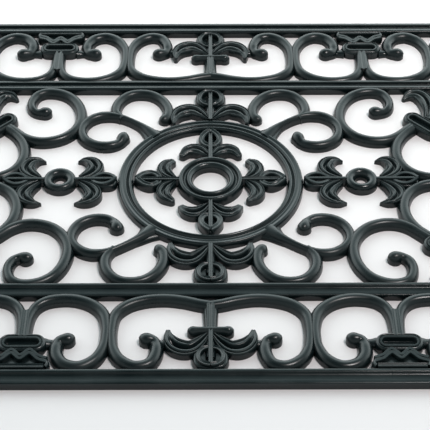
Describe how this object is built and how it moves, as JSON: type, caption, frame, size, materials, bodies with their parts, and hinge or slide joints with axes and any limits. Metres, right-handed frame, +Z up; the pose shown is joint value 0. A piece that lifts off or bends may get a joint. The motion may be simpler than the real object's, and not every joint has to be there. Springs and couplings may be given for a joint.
{
  "type": "door mat",
  "caption": "Rectangular openwork door mat of moulded rubber, with scroll bands between double-beaded rails and a ring medallion with fleurs.",
  "frame": {"origin": "on the floor, under the middle of the mat's outline", "axes": "+X along the mat's long side, +Y from its front long rail to its back long rail, +Z up from the floor"},
  "size_m": [0.76, 0.45, 0.0085],
  "materials": {
    "rubber": "satin charcoal black moulded rubber with a faint blue-green cast, brighter on worn edges and crowns"
  },
  "bodies": {
    "root": {"back_rail": "rubber", "inner_back_rail": "rubber", "front_rail": "rubber", "inner_front_rail": "rubber", "right_rail": "rubber", "right_cross_rail": "rubber", "left_rail": "rubber", "left_cross_rail": "rubber", "medallion_ring": "rubber", "hub_ring": "rubber", "hub_fleur_back": "rubber", "hub_fleur_left": "rubber", "hub_fleur_front": "rubber", "hub_fleur_right": "rubber", "ring_scroll_back_right": "rubber", "ring_scroll_back_left": "rubber", "ring_scroll_front_right": "rubber", "ring_scroll_front_left": "rubber", "corner_scroll_back_right": "rubber", "corner_scroll_back_left": "rubber", "corner_scroll_front_right": "rubber", "corner_scroll_front_left": "rubber", "corner_clasp_back_right": "rubber", "corner_clasp_back_left": "rubber", "corner_clasp_front_right": "rubber", "corner_clasp_front_left": "rubber", "corner_fan_back_right": "rubber", "corner_fan_back_left": "rubber", "corner_fan_front_right": "rubber", "corner_fan_front_left": "rubber", "palmette_back": "rubber", "palmette_front": "rubber", "side_rosette_right": "rubber", "side_rosette_left": "rubber", "back_band_scrolls_1": "rubber", "back_band_fleur_1": "rubber", "back_band_scrolls_2": "rubber", "back_band_clasp_2": "rubber", "back_band_scrolls_3": "rubber", "back_band_fleur_3": "rubber", "back_band_scrolls_4": "rubber", "back_band_clasp_4": "rubber", "back_band_scrolls_5": "rubber", "back_band_fleur_5": "rubber", "front_band_scrolls_1": "rubber", "front_band_fleur_1": "rubber", "front_band_scrolls_2": "rubber", "front_band_clasp_2": "rubber", "front_band_scrolls_3": "rubber", "front_band_fleur_3": "rubber", "front_band_scrolls_4": "rubber", "front_band_clasp_4": "rubber", "front_band_scrolls_5": "rubber", "front_band_fleur_5": "rubber", "end_scroll_back_right": "rubber", "end_scroll_back_left": "rubber", "end_scroll_front_right": "rubber", "end_scroll_front_left": "rubber", "end_rosette_right": "rubber", "end_rosette_left": "rubber"}
  },
  "joints": []
}
